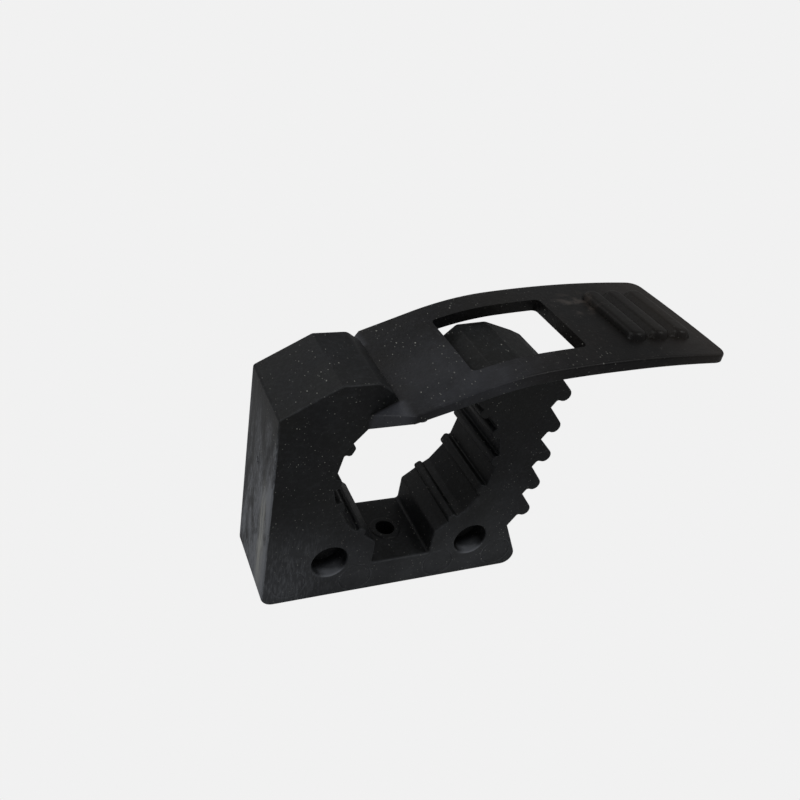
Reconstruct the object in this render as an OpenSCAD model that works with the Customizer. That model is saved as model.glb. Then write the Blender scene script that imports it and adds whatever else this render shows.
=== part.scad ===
// Quick-release rubber clamp for tool handles and other round gear.
// One rubber moulding, divided here into its working zones, which join at the places where it bends.
// X runs along the base towards the teeth, Y across it, Z up. The origin is the screw hole at the base.

/* [Body] */
// Length of the base
base_len = 78.4; // [77:0.2:82]
// Width of the base and of both posts
body_w = 25; // [22:0.5:26]
// Thickness of the floor under the held tool
floor_t = 9.6; // [8:0.2:11]
// Width of the channel above the floor
channel_w = 17.6; // [14:0.2:19]
// Diameter of the fixing screw's hole
screw_d = 5.5; // [4.5:0.1:6.5]
// Height of the hinge post
post_h = 68.6; // [68:0.2:70]

/* [Tool opening] */
// Radius of the circle through the corners of the opening
opening_r = 23.5; // [22.8:0.1:24]
// Height of that circle's centre
opening_z = 40.2; // [39.6:0.2:40.8]
// Radius of the grip beads
bead_r = 1.5; // [1:0.1:1.8]

/* [Teeth] */
// Radius of the rounded tip of each tooth
tooth_tip_r = 2; // [1.6:0.1:2]
// How much narrower than the body the toothed post is
post_draft = 0.6; // [0.4:0.1:1]

/* [Strap] */
// Thickness of the strap's side edges beside the window
strap_t = 2.9; // [2.6:0.1:3]
// Thickness of the side edges at the wings
wing_t = 2.2; // [2:0.1:2.9]
// Thickness of the side edges at the tip of the tab
tip_t = 2.3; // [2:0.1:2.8]
// How much thicker the strap is along its middle
strap_crown = 0.6; // [0.3:0.1:0.7]
// Width of the strap at its root
strap_w = 40.8; // [39:0.2:42]
// How far from the screw hole the tab ends
tab_end = 79.8; // [74:0.2:84]
// Radius of the tab's corners
tab_corner_r = 3.5; // [2:0.5:8]
// Width of the strap's window
window_w = 25.6; // [25.4:0.1:27]
// Height of the grip ribs
rib_h = 2; // [1.2:0.1:2.2]

/* [Hidden] */
$fn = 48;
eps = 0.01;
big = 200;

// Half sizes
base_x = base_len / 2;
half_w = body_w / 2;
channel_x = channel_w / 2;
hook_half_w = half_w - post_draft / 2;

// Base
base_corner_r = 3.5;
foot_top = 19;
channel_top = 17.4;
slope_x = channel_x + (foot_top - channel_top) * 1.2;
toe_notch = [32.7, 15.7];
toe_split = [28.5, foot_top];
toe_centre = [base_x - 4.7, base_corner_r];
toe_angle = 25;
recess_x = 21.2;
recess_z = 12.6;
recess_r = 5.05;
recess_depth = 7;
recess_cone = 1.6;
boss_r = 4.5;
boss_h = 0.3;

// Corners of the tool opening: one grip bead sits on each, as angles about its centre
slope_angle = 45;
hinge_bead_angles = [-23, -2.5, 24.5];
hook_bead_angles = [-24.5, 1, 25, 47];
bead_out = 0.7;
slope_bead_x = 13.7;
slope_bead_r = 1.2;

// Hinge post
shoulder_x = 15.5;
chamfer_x = 24.8;
chamfer_z = 60.4;
crease = [-10, 63.6];
root_end_top = [-17.3, 59.8];
root_end_low = [-15.8, 56.6];
root_fillet = [-20.4, 51];

// Toothed post: heights of the teeth and notches, from the top down
tooth_z = [60.4, 50.2, 40.3, 30.4, 21];
notch = [[35.2, 56.7], [35.2, 46.3], [35, 36.9], [34.6, 27.2], toe_notch];
tooth_tip_x = [40.4, 40.2, 40.1, 39.5, 38.8];
tooth_rise = 0.5;
notch_slope = 0.62;
head_slope_end = [36.3, 65.4];
head_flat = [24, 70];
head_chamfer = [15.4, 69.4];
nose = [10.7, 64.7];
nose_low = [10.9, 63.2];
throat = [12.6, 59.6];

// The toothed post bends a little at its lowest notch but one, about the middle of that section
post_flex = [27.2, 27.7];
post_flex_low = [19.9, 28.3];
post_web_r = 1.5;
post_flex_gap = 2;
post_flex_slit = 0.2;

// Strap: its edge is straight to bend_x1, bends on radius bend_r1 to bend_x2, then on bend_r2
bend_x1 = 6;
bend_x2 = 27.1;
root_slope = 0.354;
bend_r1 = 84.7;
bend_r2 = 334.6;
crown_run = 16;
window_x1 = 8;
window_x2 = 39.9;
window_corner_r = 1.4;
strap_flare = 0.0145;
wing_x = -8.9;
rib_x = [56.2, 63.5, 70.9];
rib_len = 26;
rib_w = 5.8;

// Flexing lines of the strap: places, radius of the web that bends, and the gap around it
web_r = 0.7;
web_gap = 0.04;
web_inset = 0.5;
root_flex_x = -7.5;
neck_flex_x = 3;
tab_flex_x = 47;

function arc(centre, r, from, to, n = 8) =
    [for (i = [0:n]) centre + r * [cos(from + (to - from) * i / n), sin(from + (to - from) * i / n)]];
function opening_point(a) = [opening_r * cos(a), opening_z + opening_r * sin(a)];
function mirrored(points) = [for (p = points) [-p[0], p[1]]];
function bead_point(a) = (opening_r - bead_out) * [cos(a), sin(a)] + [0, opening_z];
function slope_1(x) = root_slope - (x - bend_x1) / bend_r1;
function slope_2(x) = slope_1(bend_x2) - (x - bend_x2) / bend_r2;
function strap_slope(x) = x < bend_x1 ? root_slope : x < bend_x2 ? slope_1(x) : slope_2(x);
function rise(xa, xb) = (xb - xa) * (strap_slope(xa) + strap_slope(xb)) / 2;
function edge_top(x) = x <= bend_x1 ? crease[1] + (x - crease[0]) * root_slope
    : x <= bend_x2 ? edge_top(bend_x1) + rise(bend_x1, x)
    : edge_top(bend_x2) + rise(bend_x2, x);
function share(x, from, to) = (x - from) / (to - from);
function edge_thick(x) = x < window_x1 ? wing_t + (strap_t - wing_t) * share(x, wing_x, window_x1)
    : x < tab_flex_x ? strap_t
    : strap_t - (strap_t - tip_t) * share(x, tab_flex_x, tab_end);
function crown(x) = strap_crown * min(1, max(0, (x - crease[0]) / crown_run));
function strap_top(x) = edge_top(x) + crown(x);
function strap_low(x) = edge_top(x) - edge_thick(x) * sqrt(1 + pow(strap_slope(x), 2));
function strap_half(x) = strap_w / 2 + x * strap_flare;
function strap_angle(x) = atan(strap_slope(x));
function flex_point(x) = [x, strap_top(x)] + (web_r + 0.02) * [sin(strap_angle(x)), -cos(strap_angle(x))];

// Outline of the opening's lower slope and side corners, on the side of +X
function lower_opening() = [[slope_x, foot_top], opening_point(-slope_angle)];

// An outline in X and Z, made solid across the width from -half to half
module across(half) {
    rotate([90, 0, 0]) linear_extrude(height = 2 * half, center = true) children();
}

// A round bar along Y
module bar(p, r, half) {
    translate([p[0], 0, p[1]]) rotate([90, 0, 0]) cylinder(r = r, h = 2 * half, center = true);
}

// A blind round recess with a coned bottom, in one side face of the foot
module recess(x, side) {
    translate([x, side * half_w, recess_z]) rotate([side * 90, 0, 0]) {
        translate([0, 0, -eps]) cylinder(r = recess_r, h = recess_depth + eps);
        translate([0, 0, recess_depth - eps]) cylinder(r1 = recess_r, r2 = 0.6, h = recess_cone);
    }
}

module floor_pad() {
    color([0.12, 0.12, 0.13])
    difference() {
        across(half_w) polygon([[-channel_x, 0], [channel_x, 0], [channel_x, floor_t],
                                [-channel_x, floor_t]]);
        translate([0, 0, -1]) cylinder(d = screw_d, h = floor_t + 2);
    }
}

module screw_seat() {
    color([0.16, 0.16, 0.16])
    translate([0, 0, floor_t]) difference() {
        cylinder(r = boss_r, h = boss_h);
        translate([0, 0, -1]) cylinder(d = screw_d, h = boss_h + 2);
    }
}

module hinge_side_foot() {
    color([0.13, 0.13, 0.15])
    difference() {
        across(half_w) polygon(concat(
            [[-channel_x, 0], [-channel_x, channel_top], [-slope_x, foot_top], [-base_x, foot_top]],
            arc([-base_x + base_corner_r, base_corner_r], base_corner_r, 180, 270)));
        for (side = [-1, 1]) recess(-recess_x, side);
    }
}

module hook_side_foot() {
    color([0.13, 0.13, 0.15])
    difference() {
        across(half_w) polygon(concat(
            [[channel_x, 0], [channel_x, channel_top], [slope_x, foot_top], toe_split, toe_notch],
            arc(toe_centre, base_corner_r, toe_angle, -90)));
        for (side = [-1, 1]) recess(recess_x, side);
    }
}

module hinge_post_outline() {
    corners = [for (a = hinge_bead_angles) opening_point(a)];
    polygon(concat(
        mirrored(lower_opening()),
        mirrored(corners),
        [root_fillet, root_end_low, root_end_top, crease, [-11.3, 65.4], [-13.1, 67.3],
         [-shoulder_x, post_h], [-chamfer_x, post_h], [-base_x, chamfer_z], [-base_x, foot_top]]));
}

module hinge_post() {
    color([0.14, 0.14, 0.16])
    across(half_w) hinge_post_outline();
}

// The part of the toothed post below the line where it bends
module post_root_outline() {
    polygon(concat(lower_opening(), [post_flex_low, post_flex, notch[3], toe_notch, toe_split]));
}

module post_root() {
    color([0.13, 0.13, 0.14])
    across(hook_half_w) difference() {
        post_root_outline();
        translate(post_flex) circle(r = post_web_r + web_gap);
    }
}

module post_flex_web() {
    color([0.1, 0.1, 0.1])
    bar(post_flex, post_web_r, hook_half_w - web_inset);
}

// What is cleared from the bending part of the post so that it can lean inwards
module post_flex_cut() {
    inner = post_flex_low - post_flex;
    outer = notch[3] - post_flex;
    inner_angle = atan2(inner[1], inner[0]) - post_flex_gap;
    outer_angle = atan2(outer[1], outer[0]) + post_flex_slit;
    reach = 12;
    translate(post_flex) {
        circle(r = post_web_r + web_gap);
        for (a = [[inner_angle, inner_angle + 20], [outer_angle, outer_angle - 20]])
            polygon([[0, 0], reach * [cos(a[0]), sin(a[0])], reach * [cos(a[1]), sin(a[1])]]);
    }
}

module hook_post_outline() {
    corners = [for (a = hook_bead_angles) opening_point(a)];
    polygon(concat([post_flex_low], corners, [notch[0], notch[1], notch[2], notch[3], post_flex]));
}

module hook_post() {
    color([0.13, 0.13, 0.14])
    across(hook_half_w) difference() {
        hook_post_outline();
        post_flex_cut();
    }
}

// The wedge-shaped head that passes through the strap's window
module post_head_outline() {
    polygon([opening_point(hook_bead_angles[3]), throat, nose_low, nose, head_chamfer, head_flat,
             head_slope_end, [notch[0][0], head_slope_end[1] - 0.4], notch[0]]);
}

module post_head() {
    color([0.17, 0.17, 0.16])
    across(hook_half_w) post_head_outline();
}

// One tooth: a flank that runs on into a round tip, and an underside that rises a little to its root
module tooth_outline(i) {
    tip = [tooth_tip_x[i] - tooth_tip_r, tooth_z[i]];
    above = i == 0 ? head_slope_end : notch[i - 1];
    flank = atan2(above[1] - tip[1], tip[0] - above[0]) - asin(tooth_tip_r / norm(above - tip));
    root_height = tip[1] - tooth_tip_r + tooth_rise - notch[i][1];
    root_low = notch[i] + root_height * [notch_slope, 1];
    head_corner = i == 0 ? [head_slope_end] : [];
    polygon(concat(
        [notch[i], i == 0 ? [notch[0][0], above[1] - 0.4] : above], head_corner,
        arc(tip, tooth_tip_r, 90 - flank, -98), [root_low]));
}

module hook_teeth() {
    color([0.15, 0.15, 0.15])
    for (i = [0:3]) across(hook_half_w) difference() {
        tooth_outline(i);
        post_flex_cut();
    }
}

// The lowest tooth, below the line where the post bends
module root_tooth() {
    color([0.15, 0.15, 0.15])
    across(hook_half_w) tooth_outline(4);
}

// Grip beads: half-round bars on the corners of the opening, clear of the posts that carry them
module hinge_side_grips() {
    color([0.18, 0.18, 0.19])
    difference() {
        union() {
            for (a = hinge_bead_angles) bar(bead_point(180 - a), bead_r, half_w);
            bar([-slope_bead_x, foot_top + 2.6], slope_bead_r, half_w);
        }
        across(half_w + 1) hinge_post_outline();
    }
}

module hook_side_grips() {
    color([0.18, 0.18, 0.19])
    difference() {
        for (a = hook_bead_angles) bar(bead_point(a), bead_r, hook_half_w);
        across(half_w + 1) hook_post_outline();
        across(half_w + 1) post_head_outline();
        across(half_w + 1) post_flex_cut();
        across(half_w + 1) post_root_outline();
    }
}

module root_grip() {
    color([0.18, 0.18, 0.19])
    difference() {
        bar([slope_bead_x, foot_top + 2.6], slope_bead_r, hook_half_w);
        across(half_w + 1) post_root_outline();
    }
}

function strap_places(x1, x2, step) =
    let (n = ceil((x2 - x1) / step)) [for (i = [0:n]) x1 + (x2 - x1) * i / n];

// Side outline of the strap between two places along X
module strap_outline(x1, x2, step = 2.5) {
    places = strap_places(x1, x2, step);
    last = len(places) - 1;
    polygon(concat([for (x = places) [x, strap_top(x)]],
                   [for (i = [last:-1:0]) [places[i], strap_low(places[i])]]));
}

// Sector cleared around a flexing line, in angles about it from the strap's own direction
module flex_cut(x, from_angle, to_angle) {
    mid = (from_angle + to_angle) / 2;
    reach = 8;
    translate(flex_point(x)) {
        circle(r = web_r + web_gap);
        rotate(strap_angle(x)) polygon([[0, 0], for (t = [from_angle, mid - 45, mid, mid + 45, to_angle])
                                                    reach * [cos(t), sin(t)]]);
    }
}

// Plan of the strap without the round corners of the tab
module strap_sides() {
    polygon([[-12, -strap_half(-12)], [tab_end, -strap_half(tab_end)],
             [tab_end, strap_half(tab_end)], [-12, strap_half(-12)]]);
}

// The root in side view, as far as the first flexing line
module root_outline() {
    difference() {
        polygon([root_end_top, crease, [root_flex_x + 3, strap_top(root_flex_x + 3)],
                 [root_flex_x + 3, strap_low(root_flex_x + 3)], [wing_x, strap_low(wing_x)],
                 root_end_low]);
        flex_cut(root_flex_x, -97, 128);
    }
}

module strap_root() {
    color([0.19, 0.2, 0.21])
    across(half_w) difference() {
        root_outline();
        hinge_post_outline();
    }
}

// One of the triangular wings that carry the strap's full width beside the post
module wing(side) {
    intersection() {
        across(big / 2) root_outline();
        linear_extrude(height = big) polygon([
            [root_end_top[0], side * half_w], [0, side * half_w], [0, side * strap_half(0)],
            [wing_x, side * strap_half(wing_x)]]);
    }
}

module near_wing() {
    color([0.18, 0.19, 0.2])
    wing(-1);
}

module far_wing() {
    color([0.18, 0.19, 0.2])
    wing(1);
}

// The round web that bends at a flexing line
module flex_web(x) {
    color([0.1, 0.1, 0.1])
    bar(flex_point(x), web_r, strap_half(x) - web_inset);
}

module root_flex_web() {
    flex_web(root_flex_x);
}

module neck_flex_web() {
    flex_web(neck_flex_x);
}

module tab_flex_web() {
    flex_web(tab_flex_x);
}

module strap_neck() {
    color([0.2, 0.21, 0.22])
    intersection() {
        across(big / 2) difference() {
            strap_outline(root_flex_x - 3, neck_flex_x + 3);
            flex_cut(root_flex_x, 52, 280);
            flex_cut(neck_flex_x, -94, 103);
        }
        linear_extrude(height = big) strap_sides();
    }
}

module window_head() {
    color([0.2, 0.21, 0.22])
    intersection() {
        across(big / 2) difference() {
            strap_outline(neck_flex_x - 3, window_x1);
            flex_cut(neck_flex_x, 77, 274);
        }
        linear_extrude(height = big) strap_sides();
    }
}

// One rail beside the window in plan, with the fillets of the window's round corners
module rail_plan(side) {
    r = window_corner_r;
    corner_y = window_w / 2 - r;
    outline = concat(
        arc([window_x1 + r, corner_y], r, 180, 90),
        arc([window_x2 - r, corner_y], r, 90, 0),
        [[window_x2, strap_half(window_x2)], [window_x1, strap_half(window_x1)]]);
    polygon([for (p = outline) [p[0], side * p[1]]]);
}

module rail(side) {
    intersection() {
        across(big / 2) strap_outline(window_x1, window_x2);
        linear_extrude(height = big) rail_plan(side);
    }
}

module near_rail() {
    color([0.18, 0.19, 0.2])
    rail(-1);
}

module far_rail() {
    color([0.18, 0.19, 0.2])
    rail(1);
}

module latch_bar() {
    color([0.17, 0.17, 0.17])
    intersection() {
        across(big / 2) difference() {
            strap_outline(window_x2, tab_flex_x + 3);
            flex_cut(tab_flex_x, -101, 112);
        }
        linear_extrude(height = big) strap_sides();
    }
}

// The tab's end in plan, with its two round corners
module strap_tip() {
    tip_half = strap_half(tab_end);
    corner_x = tab_end - tab_corner_r;
    translate([0, -tip_half]) square([corner_x, 2 * tip_half]);
    translate([0, tab_corner_r - tip_half]) square([tab_end, 2 * (tip_half - tab_corner_r)]);
    for (s = [-1, 1]) translate([corner_x, s * (tip_half - tab_corner_r)]) circle(r = tab_corner_r);
}

module grip_tab() {
    color([0.19, 0.18, 0.17])
    intersection() {
        across(big / 2) difference() {
            strap_outline(tab_flex_x - 3, tab_end, 4);
            flex_cut(tab_flex_x, 69, 281);
        }
        linear_extrude(height = big) intersection() {
            strap_sides();
            strap_tip();
        }
    }
}

// One rounded rib across the tab
module rib(x) {
    r = (rib_w * rib_w / 4 + rib_h * rib_h) / (2 * rib_h);
    end = (rib_len - rib_w) / 2;
    translate([x, 0, strap_top(x) + rib_h - r]) {
        rotate([90, 0, 0]) cylinder(r = r, h = 2 * end, center = true);
        for (s = [-1, 1]) translate([0, s * end, 0]) sphere(r = r);
    }
}

module grip_ribs() {
    color([0.22, 0.21, 0.2])
    difference() {
        for (x = rib_x) rib(x);
        across(big / 2) polygon(concat(
            [for (x = strap_places(tab_flex_x - 3, tab_end, 4)) [x, strap_top(x)]],
            [[tab_end, 0], [tab_flex_x - 3, 0]]));
    }
}

floor_pad();
screw_seat();
hinge_side_foot();
hook_side_foot();
hinge_post();
hinge_side_grips();
post_root();
root_tooth();
root_grip();
post_flex_web();
hook_post();
post_head();
hook_teeth();
hook_side_grips();
strap_root();
near_wing();
far_wing();
root_flex_web();
strap_neck();
neck_flex_web();
window_head();
near_rail();
far_rail();
latch_bar();
tab_flex_web();
grip_tab();
grip_ribs();
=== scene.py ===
"""Rubber tool clamp: one black rubber moulding with a bending strap, in soft studio light."""
import math

import bmesh
import bpy
from mathutils import Matrix, Vector


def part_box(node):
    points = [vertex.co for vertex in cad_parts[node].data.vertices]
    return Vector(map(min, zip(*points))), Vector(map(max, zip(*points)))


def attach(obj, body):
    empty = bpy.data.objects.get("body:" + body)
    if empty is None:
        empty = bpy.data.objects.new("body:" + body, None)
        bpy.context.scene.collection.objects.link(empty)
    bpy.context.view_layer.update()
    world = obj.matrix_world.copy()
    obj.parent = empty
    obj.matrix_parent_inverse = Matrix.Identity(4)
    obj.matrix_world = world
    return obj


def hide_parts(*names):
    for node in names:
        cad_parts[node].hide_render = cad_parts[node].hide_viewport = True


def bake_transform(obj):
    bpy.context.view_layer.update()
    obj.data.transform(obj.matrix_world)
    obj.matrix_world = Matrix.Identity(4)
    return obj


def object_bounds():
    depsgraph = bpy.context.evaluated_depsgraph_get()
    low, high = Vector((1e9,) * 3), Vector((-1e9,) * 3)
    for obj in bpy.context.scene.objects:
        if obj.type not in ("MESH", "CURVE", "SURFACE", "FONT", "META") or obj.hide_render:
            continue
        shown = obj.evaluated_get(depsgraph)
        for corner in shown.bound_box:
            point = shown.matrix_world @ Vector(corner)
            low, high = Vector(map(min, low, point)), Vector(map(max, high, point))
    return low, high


MM = 0.001

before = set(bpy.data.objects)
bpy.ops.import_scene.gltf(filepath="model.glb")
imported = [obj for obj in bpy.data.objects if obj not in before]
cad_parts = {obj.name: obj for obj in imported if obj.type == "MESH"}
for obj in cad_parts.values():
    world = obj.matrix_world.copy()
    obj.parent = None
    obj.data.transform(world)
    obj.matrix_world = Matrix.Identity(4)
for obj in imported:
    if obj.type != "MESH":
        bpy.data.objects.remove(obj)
cad_low, cad_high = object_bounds()


# ---------------------------------------------------------------- camera

CAMERA_PLACE = Vector((-87.4, -157.2, 167.9)) * MM
CAMERA_AZIMUTH = -28.15
CAMERA_ELEVATION = 32.43
CAMERA_ROLL = 11.2
CAMERA_LENS = 36.85


def add_camera():
    a, e = math.radians(CAMERA_AZIMUTH), math.radians(CAMERA_ELEVATION)
    back = Vector((math.sin(a) * math.cos(e), -math.cos(a) * math.cos(e), math.sin(e)))
    right = Vector((0, 0, 1)).cross(back).normalized()
    up = back.cross(right)
    turn = Matrix((right, up, back)).transposed() @ Matrix.Rotation(math.radians(CAMERA_ROLL), 3, "Z")
    camera = bpy.data.objects.new("camera", bpy.data.cameras.new("camera"))
    camera.data.lens = CAMERA_LENS
    camera.data.sensor_width = 36
    camera.data.clip_start = 0.01
    camera.data.clip_end = 20
    camera.matrix_world = Matrix.Translation(CAMERA_PLACE) @ turn.to_4x4()
    bpy.context.scene.collection.objects.link(camera)
    bpy.context.scene.camera = camera


# ---------------------------------------------------------------- sizes, in mm, from the frame

def mm_box(node):
    low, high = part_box(node)
    return low / MM, high / MM


HINGE_LOW, HINGE_HIGH = mm_box("hinge_post")
HALF_BODY = HINGE_HIGH[1]
TAB_END = mm_box("grip_tab")[1][0]
LEFT = HINGE_LOW[0]
POST_TOP = HINGE_HIGH[2]
FLOOR_TOP = mm_box("floor_pad")[1][2]
CHANNEL = mm_box("floor_pad")[1][0]
FOOT_TOP = mm_box("hinge_side_foot")[1][2]
SEAT_HIGH = mm_box("screw_seat")[1]
BODY_RIM = 0.45

# Strap: side view of its edge, then its plan, its window and the tab's ribs
CREASE = (-10.0, 63.6)
BEND_1, BEND_2 = 6.0, 27.1
ROOT_SLOPE = 0.354
BEND_R1, BEND_R2 = 84.7, 334.6
CROWN, CROWN_RUN = 0.6, 16.0
SIDE_DROP = 0.32
STRAP_T, WING_T, TIP_T = 2.9, 2.2, 2.3
ROOT_TOP = (-17.3, 59.8)
ROOT_LOW = (-15.8, 56.6)
STRAP_HALF, FLARE = 20.4, 0.0145
WING_X = -8.9
TAB_CORNER = 3.5
TAB_FLEX = 47.0
WINDOW_X = (8.0, 39.9)
WINDOW_HALF = 12.8
WINDOW_R = 1.4
RIBS = (56.2, 63.5, 70.9)
RIB_HALF_LEN, RIB_H, RIB_HALF_W = 13.0, 1.97, 2.85


def ramp(x, low, high):
    """0 at low, 1 at high, and straight between them; high may be the smaller."""
    return min(1.0, max(0.0, (x - low) / (high - low)))


def smooth_ramp(x, low, high):
    t = ramp(x, low, high)
    return t * t * (3 - 2 * t)


def slope(x):
    if x < BEND_1:
        return ROOT_SLOPE
    first = ROOT_SLOPE - (min(x, BEND_2) - BEND_1) / BEND_R1
    return first if x < BEND_2 else first - (x - BEND_2) / BEND_R2


def edge_top(x):
    if x < CREASE[0]:
        rate = (CREASE[1] - ROOT_TOP[1]) / (CREASE[0] - ROOT_TOP[0])
        return CREASE[1] + (x - CREASE[0]) * rate
    z = CREASE[1] + (min(x, BEND_1) - CREASE[0]) * ROOT_SLOPE
    if x > BEND_1:
        z += (min(x, BEND_2) - BEND_1) * (slope(BEND_1) + slope(min(x, BEND_2 - 1e-6))) / 2
    if x > BEND_2:
        z += (x - BEND_2) * (slope(BEND_2) + slope(x)) / 2
    return z


def middle_top(x):
    return edge_top(x) + CROWN * ramp(x, CREASE[0], CREASE[0] + CROWN_RUN)


def strap_low(x):
    thick = STRAP_T - (STRAP_T - TIP_T) * ramp(x, TAB_FLEX, TAB_END)
    thick -= (STRAP_T - WING_T) * ramp(x, WINDOW_X[0], WING_X)
    if x >= WING_X:
        return edge_top(x) - thick * math.sqrt(1 + slope(x) ** 2)
    corner = strap_low(WING_X)
    return corner + (x - WING_X) * (corner - ROOT_LOW[1]) / (WING_X - ROOT_LOW[0])


def side_half(x):
    """Half width of the strap, wings included, without the tab's round corners."""
    if x >= WING_X:
        return STRAP_HALF + x * FLARE
    rate = (STRAP_HALF + WING_X * FLARE - HALF_BODY) / (WING_X - ROOT_TOP[0])
    return HALF_BODY + (x - ROOT_TOP[0]) * rate


def plan_half(x):
    corner_x = TAB_END - TAB_CORNER
    half = side_half(min(x, corner_x))
    if x > corner_x:
        half -= TAB_CORNER - math.sqrt(max(0.0, TAB_CORNER ** 2 - (x - corner_x) ** 2))
    return half


def edge_distance(x, y):
    """How far a point of the strap's plan is from the strap's outline."""
    corner_x, corner_y = TAB_END - TAB_CORNER, side_half(TAB_END - TAB_CORNER) - TAB_CORNER
    if x > corner_x and abs(y) > corner_y:
        return TAB_CORNER - math.hypot(x - corner_x, abs(y) - corner_y)
    lean = 0.73 if x < WING_X else 1.0
    return min((side_half(x) - abs(y)) * lean, TAB_END - x)


def rounding(distance, radius):
    inside = max(0.0, radius - max(0.0, distance))
    return radius - math.sqrt(max(0.0, radius ** 2 - inside ** 2))


def edge_radius(x):
    return 0.35 + 0.25 * smooth_ramp(x, -12, 8)


def rib_rise(x, y):
    """Each rib is steep towards the window and at its ends, and softer towards the tab's end."""
    top = 0.0
    for place in RIBS:
        along = max(0.0, abs(y) - (RIB_HALF_LEN - RIB_HALF_W))
        half = RIB_HALF_W if x < place else RIB_HALF_W + 0.25
        d = math.hypot((x - place) / half, along / RIB_HALF_W)
        power = 4.4 if x < place else 4.4 - 2.0 * ramp(x - place, 0, half) * (1 - along / RIB_HALF_W)
        if d < 1.12:
            body = math.sqrt(max(0.0, 1 - d ** power))
            foot = 0.05 * (1 - smooth_ramp(d, 0.9, 1.12))
            top = max(top, body, foot)
    return RIB_H * top


def strap_top(x, y):
    drop = SIDE_DROP * ramp(x, CREASE[0], CREASE[0] + CROWN_RUN) * (y / side_half(x)) ** 2
    edge = rounding(edge_distance(x, y), edge_radius(x))
    return middle_top(x) - drop - edge + rib_rise(x, y)


# ---------------------------------------------------------------- mesh helpers

def new_object(name, mesh):
    piece = bpy.data.objects.new(name, mesh)
    bpy.context.scene.collection.objects.link(piece)
    return piece


def mesh_from(name, bm):
    bmesh.ops.recalc_face_normals(bm, faces=bm.faces)
    bmesh.ops.scale(bm, vec=(MM, MM, MM), verts=bm.verts)
    mesh = bpy.data.meshes.new(name)
    bm.to_mesh(mesh)
    bm.free()
    return mesh


def apply_modifiers(piece):
    bpy.context.view_layer.update()
    evaluated = piece.evaluated_get(bpy.context.evaluated_depsgraph_get())
    mesh = bpy.data.meshes.new_from_object(evaluated)
    piece.modifiers.clear()
    piece.data = mesh


def combine(piece, others, operation):
    """Cuts the others out of piece, or joins them to it, and deletes them."""
    for c in others:
        m = piece.modifiers.new("combine", "BOOLEAN")
        m.operation = operation
        m.solver = "EXACT"
        m.object = c
    apply_modifiers(piece)
    for c in others:
        bpy.data.objects.remove(c)


def finish_shading(piece, angle=32):
    piece.data.shade_smooth()
    piece.data.set_sharp_from_angle(angle=math.radians(angle))
    m = piece.modifiers.new("flat faces stay flat", "WEIGHTED_NORMAL")
    m.keep_sharp = True
    m.weight = 60


def keep_rest_places(piece):
    """Stores where each point is at rest, so that the materials stay put when a piece bends."""
    at = piece.data.attributes.new("rest_place", "FLOAT_VECTOR", "POINT")
    at.data.foreach_set("vector", [c for v in piece.data.vertices for c in v.co])


def mark_rims(piece):
    """Marks the rounded rims between the body's side faces and its walls, which wear paler."""
    at = piece.data.attributes.new("rim", "FLOAT", "CORNER")
    for face in piece.data.polygons:
        slanted = 0.1 < abs(face.normal.y) < 0.97
        worn = slanted and abs(face.center.y) > (HALF_BODY - 1) * MM
        for corner in face.loop_indices:
            at.data[corner].value = float(worn)


def arc(centre, r, start, end, n=8):
    """Points on an arc in X and Z, angles in degrees."""
    steps = [math.radians(start + (end - start) * i / n) for i in range(n + 1)]
    return [(centre[0] + r * math.cos(t), centre[1] + r * math.sin(t)) for t in steps]


def rounded(corners):
    """A closed outline with each corner (x, z, radius) made an arc. A corner may be (x, z)."""
    out = []
    count = len(corners)
    for i, c in enumerate(corners):
        here = Vector(c[:2])
        radius = c[2] if len(c) > 2 else 0
        if not radius:
            out.append(here)
            continue
        a = Vector(corners[i - 1][:2]) - here
        b = Vector(corners[(i + 1) % count][:2]) - here
        half = a.angle(b) / 2
        reach = min(radius / math.tan(half), 0.48 * a.length, 0.48 * b.length)
        r = reach * math.tan(half)
        centre = here + (a.normalized() + b.normalized()).normalized() * (r / math.sin(half))
        first, last = here + a.normalized() * reach, here + b.normalized() * reach
        u, v = first - centre, last - centre
        turn = math.pi - 2 * half
        steps = max(2, math.ceil(turn / math.radians(13)))
        sign = 1 if u.x * v.y - u.y * v.x > 0 else -1
        for k in range(steps + 1):
            t = sign * turn * k / steps
            out.append(centre + Vector((u.x * math.cos(t) - u.y * math.sin(t),
                                        u.x * math.sin(t) + u.y * math.cos(t))))
    return out


def inset(points, distance):
    """The closed outline moved inwards by distance. Outlines run clockwise in X and Z."""
    out = []
    count = len(points)
    for i, p in enumerate(points):
        a, b = p - points[i - 1], points[(i + 1) % count] - p
        na = Vector((a.y, -a.x)).normalized()
        nb = Vector((b.y, -b.x)).normalized()
        n = (na + nb).normalized()
        out.append(p + n * min(distance / max(0.3, n.dot(na)), 1.6 * distance))
    return out


def extrude_outline(points, half, rim, steps=4):
    """A solid across the width from -half to half, with its two rims rounded."""
    bm = bmesh.new()
    rings = []
    for side in (-1, 1):
        order = range(steps + 1) if side < 0 else range(steps, -1, -1)
        for k in order:
            t = math.pi / 2 * k / steps
            y = side * (half - rim + rim * math.cos(t))
            ring = inset(points, rim * (1 - math.sin(t)))
            rings.append([bm.verts.new((p.x, y, p.y)) for p in ring])
    count = len(points)
    for low, high in zip(rings, rings[1:]):
        for i in range(count):
            j = (i + 1) % count
            bm.faces.new((low[i], low[j], high[j], high[i]))
    bm.faces.new(rings[0])
    bm.faces.new(rings[-1])
    return bm


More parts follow.
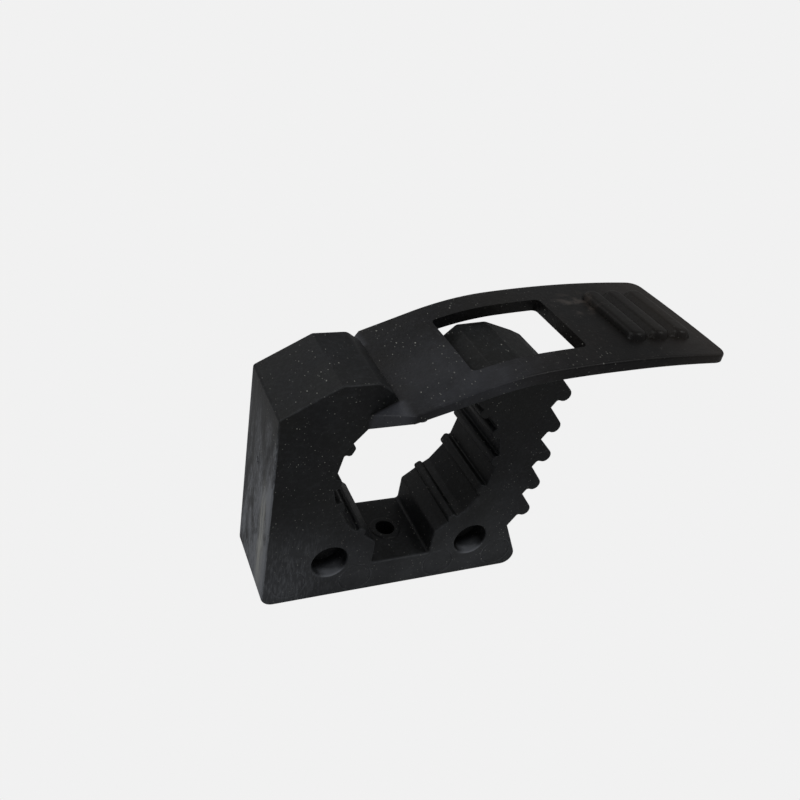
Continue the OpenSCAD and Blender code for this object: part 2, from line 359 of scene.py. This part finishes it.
def lathe(name, profile, place, axis, segments=48, closed=False):
    """A solid of revolution. The profile's points are (radius, height), from pole to pole or closed."""
    bm = bmesh.new()
    rings = []
    for r, h in profile:
        if r < 1e-6:
            rings.append([bm.verts.new((0, 0, h))])
            continue
        rings.append([bm.verts.new((r * math.cos(2 * math.pi * i / segments),
                                    r * math.sin(2 * math.pi * i / segments), h))
                      for i in range(segments)])
    pairs = list(zip(rings, rings[1:])) + ([(rings[-1], rings[0])] if closed else [])
    for low, high in pairs:
        for i in range(segments):
            j = (i + 1) % segments
            loop = [low[i % len(low)], low[j % len(low)], high[j % len(high)], high[i % len(high)]]
            bm.faces.new(list(dict.fromkeys(loop)))
    turn = Vector((0, 0, 1)).rotation_difference(Vector(axis)).to_matrix().to_4x4()
    bmesh.ops.transform(bm, matrix=Matrix.Translation(Vector(place)) @ turn, verts=bm.verts)
    return new_object(name, mesh_from(name, bm))


# ---------------------------------------------------------------- the clamp's body

OPENING_R, OPENING_Z = 23.5, 40.2
BEAD_R, BEAD_OUT = 1.5, 0.7
HINGE_BEADS = (-23, -2.5, 24.5)
HOOK_BEADS = (-24.5, 1, 25, 47)
SLOPE_BEAD = (13.7, 21.6)
TOOTH_Z = (60.4, 50.2, 40.3, 30.4, 21)
TOOTH_X = (40.4, 40.2, 40.1, 39.5, 38.8)
TOOTH_R, TOOTH_RISE, NOTCH_SLOPE = 2.0, 0.5, 0.62
NOTCH = ((35.2, 56.7), (35.2, 46.3), (35, 36.9), (34.6, 27.2), (32.7, 15.7))
HEAD_END = (36.3, 65.4)
RECESS = (21.2, 12.6, 5.05, 7.0, 1.6)
WITNESS = ((-32.0, 6.6), (-13.1, 5.2), (12.1, 5.4), (31.0, 6.0))
WITNESS_R, WITNESS_DEEP = 4.4, 0.14
GATE = (1.0, 39.0)
SCREW_R = 2.75


def on_opening(angle, out=0.0):
    t = math.radians(angle)
    r = OPENING_R - out
    return Vector((r * math.cos(t), OPENING_Z + r * math.sin(t)))


def bead(before, corner, after, r=BEAD_R, out=BEAD_OUT):
    """Corners of a half-round bead that stands on a wall's corner, towards the opening."""
    centre = Vector((0, OPENING_Z))
    n = (centre - corner).normalized()
    t = (after - before).normalized()
    t = (t - n * t.dot(n)).normalized()
    c = corner + n * out
    first = corner + (before - corner).normalized() * (r + 0.15)
    last = corner + (after - corner).normalized() * (r + 0.15)
    low, high = c - t * r + n * r, c + t * r + n * r
    return [(*first, 0.45), (*low, r * 0.98), (*high, r * 0.98), (*last, 0.45)]


def beaded_wall(points, beads):
    """Corners along a wall; those whose index is in beads carry a bead."""
    out = []
    for i, p in enumerate(points[1:-1], 1):
        if i in beads:
            r, rise = beads[i]
            out += bead(points[i - 1], p, points[i + 1], r, rise)
        else:
            out.append((*p, 1.6))
    return out


def tooth(i):
    tip = (TOOTH_X[i] - TOOTH_R, TOOTH_Z[i])
    above = HEAD_END if i == 0 else NOTCH[i - 1]
    reach = math.hypot(above[1] - tip[1], tip[0] - above[0])
    flank = math.degrees(math.atan2(above[1] - tip[1], tip[0] - above[0]) - math.asin(TOOTH_R / reach))
    height = tip[1] - TOOTH_R + TOOTH_RISE - NOTCH[i][1]
    low = (NOTCH[i][0] + height * NOTCH_SLOPE, NOTCH[i][1] + height)
    return arc(tip, TOOTH_R, 90 - flank, -98) + [(*low, 0.7), (*NOTCH[i], 0.3)]


def body_outline():
    """Clockwise: up the hinge post, down the opening, across the channel, up and down the other post."""
    hinge_wall = [Vector((-11.0, 61.6)), Vector((-15.8, 56.6)), Vector((-20.4, 51))]
    hinge_wall += [Vector((-p.x, p.y)) for p in (on_opening(a) for a in reversed(HINGE_BEADS))]
    hinge_wall += [Vector((-16.6, 23.6)), Vector((-SLOPE_BEAD[0], SLOPE_BEAD[1] - 0.15))]
    hinge_wall += [Vector((-CHANNEL, 17.4))]
    hook_wall = [Vector((CHANNEL, 17.4)), Vector((SLOPE_BEAD[0], SLOPE_BEAD[1] - 0.15))]
    hook_wall += [Vector((16.6, 23.6))] + [on_opening(a) for a in HOOK_BEADS] + [Vector((12.6, 59.6))]
    beads = (BEAD_R, BEAD_OUT)
    small = (1.15, 0.25)
    corners = [(LEFT, 60.4, 1.0), (-24.8, POST_TOP, 1.2), (-15.6, POST_TOP, 2.6)]
    corners += [(-11.8, 65.9, 2.4), (-10.3, 63.9), (-11.0, 61.6)]
    corners += beaded_wall(hinge_wall, {3: beads, 4: beads, 5: beads, 7: small})
    corners += [(-CHANNEL, 17.4, 1.0), (-CHANNEL, FLOOR_TOP, 0.9), (CHANNEL, FLOOR_TOP, 0.9)]
    corners += [(CHANNEL, 17.4, 1.0)]
    corners += beaded_wall(hook_wall, {1: small, 3: beads, 4: beads, 5: beads, 6: beads})
    corners += [(12.6, 59.6, 1.5), (10.9, 63.2, 0.7), (10.7, 64.7, 0.8), (15.4, 69.4, 1.4)]
    corners += [(24, 70, 3.0), (33, 66.9, 5.0), (*HEAD_END, 1.2)]
    for i in range(5):
        corners += tooth(i)
    corners += arc((34.5, 3.5), 3.5, 25, -90)
    corners += arc((LEFT + 3.5, 3.5), 3.5, 270, 180)
    return rounded(corners)


def draft(piece):
    """Cuts the side faces at the foot's top and narrows the toothed post above it."""
    bm = bmesh.new()
    bm.from_mesh(piece.data)
    geometry = bm.verts[:] + bm.edges[:] + bm.faces[:]
    bmesh.ops.bisect_plane(bm, geom=geometry, plane_co=(0, 0, FOOT_TOP * MM), plane_no=(0, 0, 1))
    for v in bm.verts:
        if v.co.x > 0 and v.co.z > FOOT_TOP * MM:
            v.co.y *= 1 - 0.028 * ramp(v.co.z / MM, FOOT_TOP, 70)
    bm.to_mesh(piece.data)
    bm.free()


def make_body():
    block = extrude_outline(body_outline(), HALF_BODY, BODY_RIM)
    piece = new_object("clamp_body", mesh_from("clamp_body", block))
    draft(piece)
    x, z, r, depth, cone = RECESS
    cutters = []
    for side in (-1, 1):
        for place in (-x, x):
            profile = [(0, -depth - cone), (0.7, -depth - cone + 0.1), (r - 0.35, -depth),
                       (r, -depth + 0.5), (r, -0.5), (r + 0.12, -0.22), (r + 0.45, 0), (r + 0.5, 1), (0, 1)]
            cutters.append(lathe("recess", profile, (place, side * HALF_BODY, z), (0, side, 0)))
    hole = [(0, -2), (SCREW_R + 0.4, -2), (SCREW_R + 0.4, -0.01), (SCREW_R, 0.3),
            (SCREW_R, FLOOR_TOP + 1), (0, FLOOR_TOP + 1)]
    cutters.append(lathe("hole", hole, (0, 0, 0), (0, 0, 1)))
    for x, z in WITNESS:
        groove = [(WITNESS_R - 0.25, 0.05), (WITNESS_R, -WITNESS_DEEP), (WITNESS_R + 0.2, 0.05),
                  (WITNESS_R + 0.2, 0.4), (WITNESS_R - 0.25, 0.4)]
        cutters.append(lathe("witness", groove, (x, -HALF_BODY, z), (0, -1, 0), closed=True))
    gate = [(0, -0.1), (0.35, -0.15), (0.5, -0.6), (0.8, -0.6), (1.05, 0.02), (1.05, 1), (0, 1)]
    cutters.append(lathe("gate mark", gate, (LEFT, *GATE), (-1, 0, 0)))
    combine(piece, cutters, "DIFFERENCE")
    return piece


def make_seat():
    """The low ring round the screw hole, where the screw's washer sits."""
    outer, top, sunk = SEAT_HIGH[0], SEAT_HIGH[2], FLOOR_TOP - 0.3
    inner = SCREW_R
    ring = [(inner, sunk), (inner, top - 0.15), (inner + 0.05, top - 0.04), (inner + 0.15, top),
            (outer - 0.5, top), (outer - 0.2, top - 0.08), (outer, top - 0.27), (outer, sunk)]
    return lathe("washer_seat", ring, (0, 0, 0), (0, 0, 1), closed=True)


# ---------------------------------------------------------------- the strap

def stations(x1, x2, fine, finest=()):
    """Places along the strap, 1.2 mm apart, closer in the fine stretches and closest in the finest."""
    xs = [x1]
    while xs[-1] < x2 - 0.2:
        step = 0.45 if any(a <= xs[-1] < b for a, b in fine) else 1.2
        step = 0.2 if any(a <= xs[-1] < b for a, b in finest) else step
        xs.append(min(x2, xs[-1] + step))
    xs[-1] = x2
    return xs


EDGE_ROWS = (0, 0.1, 0.3, 0.6, 0.9)


def strap_mesh(name, xs, rows):
    bm = bmesh.new()
    sections = []
    for x in xs:
        half = plan_half(x)
        inner = half - EDGE_ROWS[-1] - 0.4
        ys = [-(half - e) for e in EDGE_ROWS]
        ys += [inner * (2 * i / rows - 1) for i in range(rows + 1)]
        ys += [half - e for e in reversed(EDGE_ROWS)]
        low = strap_low(x)
        top_loop = [(x, y, strap_top(x, y)) for y in ys]
        low_loop = [(x, y, low + 0.3 * (1 - ramp(edge_distance(x, y), 0, 0.3))) for y in reversed(ys)]
        sections.append([bm.verts.new(p) for p in top_loop + low_loop])
    count = len(sections[0])
    for a, b in zip(sections, sections[1:]):
        for i in range(count):
            j = (i + 1) % count
            bm.faces.new((a[i], b[i], b[j], a[j]))
    bm.faces.new(sections[0])
    bm.faces.new(list(reversed(sections[-1])))
    return mesh_from(name, bm)


SEAM_1, SEAM_2 = -2.4, 41.8
CUTTER_LOW, CUTTER_HEIGHT = 60, 30


def make_root():
    xs = stations(-18.2, SEAM_1, [(-12, SEAM_1)])
    xs = sorted(set(xs + [WING_X, CREASE[0]]))
    piece = new_object("strap_root_bend", strap_mesh("strap_root_bend", xs, 24))
    drip = nub((-6.9, -side_half(-6.9) + 0.9, strap_low(-6.9) + 0.35), 0.85, 1.7)
    combine(piece, [drip], "UNION")
    return piece


def nub(place, r, stretch=1.0):
    """A little drop of flash left by the mould, longer along X where stretched."""
    ball = [(r * math.sin(math.radians(a)), -r * math.cos(math.radians(a))) for a in range(0, 181, 15)]
    ball[0], ball[-1] = (0, -r), (0, r)
    piece = lathe("flash", ball, (0, 0, 0), (0, 0, 1), 20)
    for v in piece.data.vertices:
        v.co = Vector((v.co.x * stretch, v.co.y, v.co.z)) + Vector(place) * MM
    return piece


def window_cutter():
    """A block through the strap from CUTTER_LOW up, as wide and long as the window."""
    r = WINDOW_R
    x1, x2 = WINDOW_X
    corners = [(x1, -WINDOW_HALF, r), (x1, WINDOW_HALF, r), (x2, WINDOW_HALF, r), (x2, -WINDOW_HALF, r)]
    bm = bmesh.new()
    face = bm.faces.new([bm.verts.new((p.x, p.y, CUTTER_LOW)) for p in rounded(corners)])
    extruded = bmesh.ops.extrude_face_region(bm, geom=[face])["geom"]
    upper = [v for v in extruded if isinstance(v, bmesh.types.BMVert)]
    bmesh.ops.translate(bm, vec=(0, 0, CUTTER_HEIGHT), verts=upper)
    return new_object("window cutter", mesh_from("window cutter", bm))


def soften_window(piece, offset=0.3):
    """Rounds the window's upper and lower edges."""
    bm = bmesh.new()
    bm.from_mesh(piece.data)
    x1, x2 = (x * MM for x in WINDOW_X)
    near = 0.02 * MM
    half = WINDOW_HALF * MM + near
    chosen = []
    for e in bm.edges:
        if len(e.link_faces) != 2 or e.calc_face_angle(0) < math.radians(45):
            continue
        if all(x1 - near <= v.co.x <= x2 + near and abs(v.co.y) <= half for v in e.verts):
            chosen.append(e)
    bmesh.ops.bevel(bm, geom=chosen, offset=offset * MM, segments=3, profile=0.5, affect="EDGES",
                    clamp_overlap=True)
    bm.to_mesh(piece.data)
    bm.free()


def make_window():
    xs = stations(SEAM_1, SEAM_2, [(SEAM_1, 7)])
    piece = new_object("strap_window", strap_mesh("strap_window", xs, 28))
    combine(piece, [window_cutter()], "DIFFERENCE")
    soften_window(piece)
    combine(piece, [nub((0.7, -side_half(0.7) + 0.15, edge_top(0.7) - 0.9), 0.45)], "UNION")
    return piece


def make_tab():
    corner_x = TAB_END - TAB_CORNER
    xs = stations(SEAM_2, corner_x, [(SEAM_2, 52)], [(p - 3.5, p + 3.5) for p in RIBS])
    xs += [corner_x + TAB_CORNER * math.sin(math.radians(a)) for a in (12, 24, 36, 48, 58, 67, 75, 82)]
    xs += [TAB_END - 0.02, TAB_END]
    return new_object("pull_tab", strap_mesh("pull_tab", xs, 100))


# ---------------------------------------------------------------- materials

SPECK_COLOUR = (0.46, 0.46, 0.42)
SHINE = 0.22


class Rubber:
    """Black moulded rubber: fine grain, dust bloom, scuffs, hair scratches, worn edges and white specks."""

    def __init__(self, name):
        self.mat = bpy.data.materials.new(name)
        self.mat.use_nodes = True
        self.tree = self.mat.node_tree
        self.shader = self.tree.nodes["Principled BSDF"]
        at = self.tree.nodes.new("ShaderNodeAttribute")
        at.attribute_name = "rest_place"
        self.spot = at.outputs["Vector"]
        split = self.tree.nodes.new("ShaderNodeSeparateXYZ")
        self.tree.links.new(self.spot, split.inputs["Vector"])
        self.x, self.y, self.z = split.outputs

    def attribute(self, name):
        at = self.tree.nodes.new("ShaderNodeAttribute")
        at.attribute_name = name
        return at.outputs["Fac"]

    def feed(self, socket, value):
        if isinstance(value, (int, float)):
            socket.default_value = value
        elif isinstance(value, tuple):
            socket.default_value = (*value, 1)
        else:
            self.tree.links.new(value, socket)

    def noise(self, scale, detail=4.0, stretch=None, turn=(0, 0, 0)):
        """Noise between 0 and 1; scale is in 1/m, and stretch sets it for each axis."""
        n = self.tree.nodes.new("ShaderNodeTexNoise")
        n.inputs["Scale"].default_value = scale
        n.inputs["Detail"].default_value = detail
        n.inputs["Roughness"].default_value = 0.55
        source = self.spot
        if stretch:
            m = self.tree.nodes.new("ShaderNodeMapping")
            m.inputs["Rotation"].default_value = turn
            m.inputs["Scale"].default_value = stretch
            self.feed(m.inputs["Vector"], self.spot)
            source = m.outputs["Vector"]
        self.feed(n.inputs["Vector"], source)
        return n.outputs["Fac"]

    def band(self, source, low, high, out_low=0.0, out_high=1.0):
        """out_low where the source is at low, out_high where it is at high, and held past both."""
        m = self.tree.nodes.new("ShaderNodeMapRange")
        self.feed(m.inputs["Value"], source)
        limits = {"From Min": low, "From Max": high, "To Min": out_low, "To Max": out_high}
        for key, value in limits.items():
            m.inputs[key].default_value = value
        return m.outputs["Result"]

    def maths(self, kind, a, b=0.0):
        m = self.tree.nodes.new("ShaderNodeMath")
        m.operation = kind
        self.feed(m.inputs[0], a)
        self.feed(m.inputs[1], b)
        return m.outputs["Value"]

    def times(self, *values):
        out = values[0]
        for v in values[1:]:
            out = self.maths("MULTIPLY", out, v)
        return out

    def plus(self, *values):
        out = values[0]
        for v in values[1:]:
            out = self.maths("ADD", out, v)
        return out

    def mix(self, factor, a, b):
        m = self.tree.nodes.new("ShaderNodeMix")
        m.data_type = "RGBA"
        self.feed(m.inputs[0], factor)
        self.feed(m.inputs[6], a)
        self.feed(m.inputs[7], b)
        return m.outputs[2]

    def near(self, place, radius):
        """1 at a place in mm, falling to 0 at the radius."""
        away = self.tree.nodes.new("ShaderNodeVectorMath")
        away.operation = "DISTANCE"
        self.feed(away.inputs[0], self.spot)
        away.inputs[1].default_value = Vector(place) * MM
        return self.band(away.outputs["Value"], 0.2 * radius * MM, radius * MM, 1.0, 0.0)

    def specks(self, scale, size, least, turn):
        """Specks of dust, longer one way. One cell in a few holds one, and most of them are faint."""
        cells = self.tree.nodes.new("ShaderNodeTexVoronoi")
        cells.inputs["Scale"].default_value = scale
        m = self.tree.nodes.new("ShaderNodeMapping")
        m.inputs["Rotation"].default_value = turn
        m.inputs["Scale"].default_value = (1.0, 0.6, 1.0)
        self.feed(m.inputs["Vector"], self.spot)
        self.feed(cells.inputs["Vector"], m.outputs["Vector"])
        dots = self.band(cells.outputs["Distance"], size * 0.4, size, 1.0, 0.0)
        return self.times(dots, self.band(cells.outputs["Color"], least, 0.92))

    def ring(self, place, radius, width):
        """1 on a circle round a place in mm, falling to 0 at the width on both sides."""
        away = self.tree.nodes.new("ShaderNodeVectorMath")
        away.operation = "DISTANCE"
        self.feed(away.inputs[0], self.spot)
        away.inputs[1].default_value = Vector(place) * MM
        off = self.maths("ABSOLUTE", self.plus(away.outputs["Value"], -radius * MM))
        return self.band(off, 0.0, width * MM, 1.0, 0.0)

    def hairs(self, stretch, turn, where):
        """Thin lines that wander, kept to some patches."""
        lines = self.noise(1.0, 1.5, stretch, turn)
        thin = self.band(self.maths("ABSOLUTE", self.plus(lines, -0.5)), 0.0, 0.012, 1.0, 0.0)
        return self.times(thin, self.band(self.noise(where, 2), 0.55, 0.68))


def fine_streaks(r):
    """Thin upright streaks, as if wiped."""
    return r.band(r.noise(1.0, 3, (900, 900, 120)), 0.40, 0.62)


def body_dust_and_painted_light(r, fine, cloud):
    """Dust on the body: its outer end face, the worn rims and the round moulding marks. Painted reflection
    of the floor low on the side faces and at the near lower corner, and painted light on the lower wall of
    each recess. The second value is where the outer face is paled almost white, in a stripe down to the
    foot. Limits along X, Y and Z are in metres here."""
    side = r.maths("ABSOLUTE", r.y)
    outer_face = r.band(r.x, (LEFT + 0.3) * MM, (LEFT + 0.6) * MM, 1.0, 0.0)
    by_the_edge = r.band(r.y, -HALF_BODY * MM, -0.003, 1.0, 0.38)
    low_down = r.band(r.z, 0.034, 0.058, 1.0, 0.02)
    lowest = r.band(r.z, 0.008, 0.026, 1.35, 1.0)
    # A near-white stripe down the outer face, towards the foot.
    stripe = r.band(r.maths("ABSOLUTE", r.plus(r.y, 0.0072)), 0.0008, 0.0036, 1.0, 0.0)
    pale_stripe = r.times(r.near((LEFT, -8, 19), 22), stripe, outer_face,
                     r.plus(0.35, fine_streaks(r)), 0.55)
    smears = r.band(r.noise(1.0, 4, (260, 260, 75)), 0.38, 0.64, 0.20, 1.55)
    outer = r.times(outer_face, by_the_edge, low_down, lowest, smears,
                    r.plus(0.40, r.times(fine, 0.9)), 2.3)
    # Painted reflection of the floor: the near lower corner and the side faces low down are made paler.
    corner = r.times(r.near((-33, -HALF_BODY, 9), 20), r.plus(fine, 0.25), 0.30)
    on_side = r.band(side, 0.0115, 0.0121)
    low_side_floor_reflection = r.times(on_side, r.band(r.z, 0.006, 0.036, 1.0, 0.0), r.plus(0.6, r.times(cloud, 0.6)), 0.20)
    # Painted light: the lower wall of each side recess is made paler, as if lit from the front and above,
    # and the upper wall stays dark.
    inside = r.times(r.band(side, 0.0066, 0.0090), r.band(side, 0.01235, 0.0125, 1.0, 0.0),
                     r.band(r.z, 0.0085, 0.0125, 1.0, 0.0))
    recess_y, recess_z = 1.5 - HALF_BODY, RECESS[1] - RECESS[2]
    recess_painted_light = r.maths("MAXIMUM", r.near((1.6 + RECESS[0], recess_y, recess_z), 4.5),
                       r.near((1.6 - RECESS[0], recess_y, recess_z), 4.5))
    rims = r.times(r.attribute("rim"), r.band(r.noise(330, 3), 0.35, 0.62), 0.10)
    marks = r.plus(*[r.ring((x, -HALF_BODY, z), WITNESS_R + 0.35, 0.3) for x, z in WITNESS])
    marks = r.times(marks, r.band(r.noise(400, 2), 0.40, 0.58), 0.20)
    return r.plus(outer, corner, low_side_floor_reflection, r.times(inside, recess_painted_light, 1.2), rims, marks), pale_stripe


def strap_dust_and_painted_light(r, fine, cloud):
    """The strap is paler at the neck, a painted sheen mottled with dust; paler on its wings, painted light
    where the post head's shadow falls; and paler towards the tab's end. The second value is where it is
    scratched almost white, by the window's near corner."""
    # Partly painted sheen: the neck's near top is made paler, sheen and dust together.
    neck = r.times(r.near((8, -12, 69), 24), r.plus(0.6, r.times(cloud, 0.7)), 0.17)
    scuffs = r.times(r.near((49, 8, 77), 8), r.band(r.noise(260, 4), 0.5, 0.66), 0.3)
    tip = r.times(r.band(r.x, 0.058, 0.078), 0.08)
    side = r.maths("ABSOLUTE", r.y)
    # Painted light: the wings' tops are made paler where the post head's shadow falls on them.
    wing = r.times(r.band(r.x, -0.0105, -0.0085, 1.0, 0.0), r.band(side, 0.0125, 0.0135), 0.22)
    scratched = r.times(r.near((31, -13, 76), 8), r.hairs((160, 900, 500), (0.3, 0.2, 0.5), 200), 0.5)
    return r.plus(neck, tip, scuffs, wing), scratched


def rubber(name, dark, warm, dust_and_light_colour, tip_colour, rough, haze, hair, extra):
    """dark and warm are the bare rubber's two tones. The dust and painted light go from their own colour to
    tip_colour along X. haze and hair say how much bloom and how many hair scratches there are, and extra
    adds the piece's own dust and painted light."""
    r = Rubber(name)
    cloud = r.band(r.noise(60, 5), 0.36, 0.70)
    patch = r.band(r.noise(210, 5), 0.52, 0.70)
    mottle = r.band(r.noise(900, 3), 0.48, 0.70)
    fine = r.band(r.noise(1.0, 4, (2300, 2300, 420)), 0.46, 0.66)
    crossed = r.band(r.noise(1.0, 4, (400, 2100, 1300), (0.2, 0.5, 0.9)), 0.58, 0.70)
    bloom = r.plus(r.times(cloud, 0.4), r.times(patch, 0.3), r.times(mottle, 0.35), r.times(crossed, 0.3))
    lines = r.maths("MAXIMUM", r.hairs((70, 420, 200), (0.4, 0.9, 0.2), 90),
                    r.hairs((480, 90, 260), (1.1, 0.2, 1.0), 120))
    handled = r.band(r.x, 0.038, 0.048, 1.0, 0.30)
    # This dust also carries the piece's painted light and painted floor reflection.
    dust, white = extra(r, fine, cloud)
    dust = r.plus(r.times(bloom, handled, haze), r.times(lines, hair), dust)

    bare = r.mix(r.band(r.noise(38, 3), 0.40, 0.62), dark, warm)
    dust_and_light_tone = r.mix(r.band(r.x, 0.015, 0.055), dust_and_light_colour, tip_colour)
    with_dust_and_painted_light = r.mix(r.maths("MINIMUM", dust, 1.0), bare, dust_and_light_tone)
    specks = r.maths("MAXIMUM", r.specks(640, 0.14, 0.60, (0.4, 0.9, 0.2)),
                     r.specks(1250, 0.20, 0.52, (1.1, 0.2, 1.0)))
    specks = r.times(specks, handled, r.band(r.noise(55, 2), 0.38, 0.62, 0.35, 1.0))
    r.feed(r.shader.inputs["Base Color"], r.mix(r.maths("MAXIMUM", specks, white), with_dust_and_painted_light, SPECK_COLOUR))

    uneven = r.plus(r.times(cloud, 0.10), r.times(patch, 0.08), r.times(crossed, 0.10), rough - 0.06)
    r.feed(r.shader.inputs["Roughness"], uneven)
    r.shader.inputs["Specular IOR Level"].default_value = SHINE

    grain = r.plus(r.times(r.noise(2600, 2), 0.5), r.times(r.noise(700, 3), 0.8))
    relief = r.plus(r.plus(grain, r.times(r.noise(120, 3), 2.2)), r.times(lines, 0.5), r.times(specks, 0.6))
    bump = r.tree.nodes.new("ShaderNodeBump")
    bump.inputs["Strength"].default_value = 0.5
    bump.inputs["Distance"].default_value = 0.00012
    r.feed(bump.inputs["Height"], relief)
    r.feed(r.shader.inputs["Normal"], bump.outputs["Normal"])
    return r.mat


# ---------------------------------------------------------------- light and floor

def add_area(name, place, target, size, power):
    light = bpy.data.lights.new(name, "AREA")
    light.shape = "DISK"
    light.size = size
    light.energy = power
    piece = bpy.data.objects.new(name, light)
    piece.location = Vector(place)
    piece.rotation_euler = (Vector(target) - Vector(place)).to_track_quat("-Z", "Y").to_euler()
    bpy.context.scene.collection.objects.link(piece)


FLOOR_GREY = 0.62
PALE = (0.880, 0.880, 0.880, 1)
WORLD_GREY = (0.885, 0.885, 0.885, 1)


def pale_to_the_camera(tree, lit, seen, output):
    """What the camera sees is an even pale tone, without shadows, while lit gives the object its light."""
    seen.inputs["Color"].default_value = PALE
    rays = tree.nodes.new("ShaderNodeLightPath")
    pick = tree.nodes.new("ShaderNodeMixShader")
    tree.links.new(rays.outputs["Is Camera Ray"], pick.inputs[0])
    tree.links.new(lit.outputs[0], pick.inputs[1])
    tree.links.new(seen.outputs[0], pick.inputs[2])
    tree.links.new(pick.outputs[0], tree.nodes[output].inputs["Surface"])


def add_floor(low_z):
    bm = bmesh.new()
    size = 6
    corners = ((-size, -size), (size, -size), (size, size), (-size, size))
    bm.faces.new([bm.verts.new((x, y, low_z)) for x, y in corners])
    mesh = bpy.data.meshes.new("floor")
    bm.to_mesh(mesh)
    bm.free()
    piece = new_object("floor", mesh)
    mat = bpy.data.materials.new("pale floor")
    mat.use_nodes = True
    tree = mat.node_tree
    shader = tree.nodes["Principled BSDF"]
    shader.inputs["Base Color"].default_value = (FLOOR_GREY, FLOOR_GREY, FLOOR_GREY, 1)
    shader.inputs["Roughness"].default_value = 0.9
    shader.inputs["Specular IOR Level"].default_value = 0.0
    pale_to_the_camera(tree, shader, tree.nodes.new("ShaderNodeEmission"), "Material Output")
    piece.data.materials.append(mat)


def add_light():
    world = bpy.data.worlds.new("studio")
    world.use_nodes = True
    tree = world.node_tree
    sky = tree.nodes["Background"]
    sky.inputs["Color"].default_value = WORLD_GREY
    sky.inputs["Strength"].default_value = 0.27
    pale_to_the_camera(tree, sky, tree.nodes.new("ShaderNodeBackground"), "World Output")
    bpy.context.scene.world = world
    scene = bpy.context.scene
    scene.view_settings.view_transform = "Standard"
    middle = (0.02, 0, 0.04)
    add_area("key", (-0.9, 0.1, 0.9), middle, 0.6, 2.8)
    add_area("back", (-0.3, 1.0, 0.75), middle, 0.6, 0.7)
    add_area("overhead", (0.45, -0.3, 0.95), middle, 0.16, 1.6)


# ---------------------------------------------------------------- put it together

def joint_ends(x1, x2):
    """Two places on the strap's middle line, in metres, for a bend between them."""
    return [Vector((x, 0, (middle_top(x) + strap_low(x)) / 2)) * MM for x in (x1, x2)]


def dress(piece, mat):
    piece.data.materials.clear()
    piece.data.materials.append(mat)
    for p in piece.data.polygons:
        p.material_index = 0
    finish_shading(piece)
    keep_rest_places(piece)


add_camera()
add_light()
add_floor(cad_low[2])

body = make_body()
root = make_root()
window = make_window()
tab = make_tab()

seat = make_seat()

# These dust colours also colour the painted light and painted floor reflection.
DUST_AND_PAINTED_LIGHT, COOL_DUST_AND_PAINTED_LIGHT, WARM_DUST = (0.195, 0.205, 0.225), (0.19, 0.20, 0.235), (0.23, 0.185, 0.155)
BODY_RUBBER = ((0.0055, 0.006, 0.007), (0.0085, 0.009, 0.0085), DUST_AND_PAINTED_LIGHT, DUST_AND_PAINTED_LIGHT, 0.50, 0.11, 0.06, body_dust_and_painted_light)
STRAP_RUBBER = ((0.003, 0.0031, 0.0036), (0.006, 0.0052, 0.0042), COOL_DUST_AND_PAINTED_LIGHT, WARM_DUST, 0.45, 0.10, 0.08,
                strap_dust_and_painted_light)
black = rubber("black_rubber", *BODY_RUBBER)
inner = rubber("inner_rubber", *BODY_RUBBER)
scuffed_and_painted_light = rubber("scuffed_rubber", *STRAP_RUBBER)
ribbed = rubber("ribbed_rubber", *STRAP_RUBBER)
mark_rims(body)
dress(body, black)
dress(seat, inner)
dress(root, scuffed_and_painted_light)
dress(window, scuffed_and_painted_light)
dress(tab, ribbed)

BODY_NODES = ["floor_pad", "hinge_side_foot", "hook_side_foot", "hinge_post",
              "hinge_side_grips", "post_root", "root_tooth", "root_grip", "post_flex_web",
              "hook_post", "post_head", "hook_teeth", "hook_side_grips"]
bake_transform(body)
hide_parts(*BODY_NODES)
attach(seat, "body")
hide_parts("screw_seat")
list(joint_ends(-10.8, -3.2))
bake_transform(root)
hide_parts("strap_root", "near_wing", "far_wing", "root_flex_web")
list(joint_ends(-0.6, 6.8))
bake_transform(window)
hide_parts("strap_neck", "neck_flex_web", "window_head", "near_rail", "far_rail")
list(joint_ends(43, 51))
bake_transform(tab)
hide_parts("latch_bar", "tab_flex_web", "grip_tab", "grip_ribs")
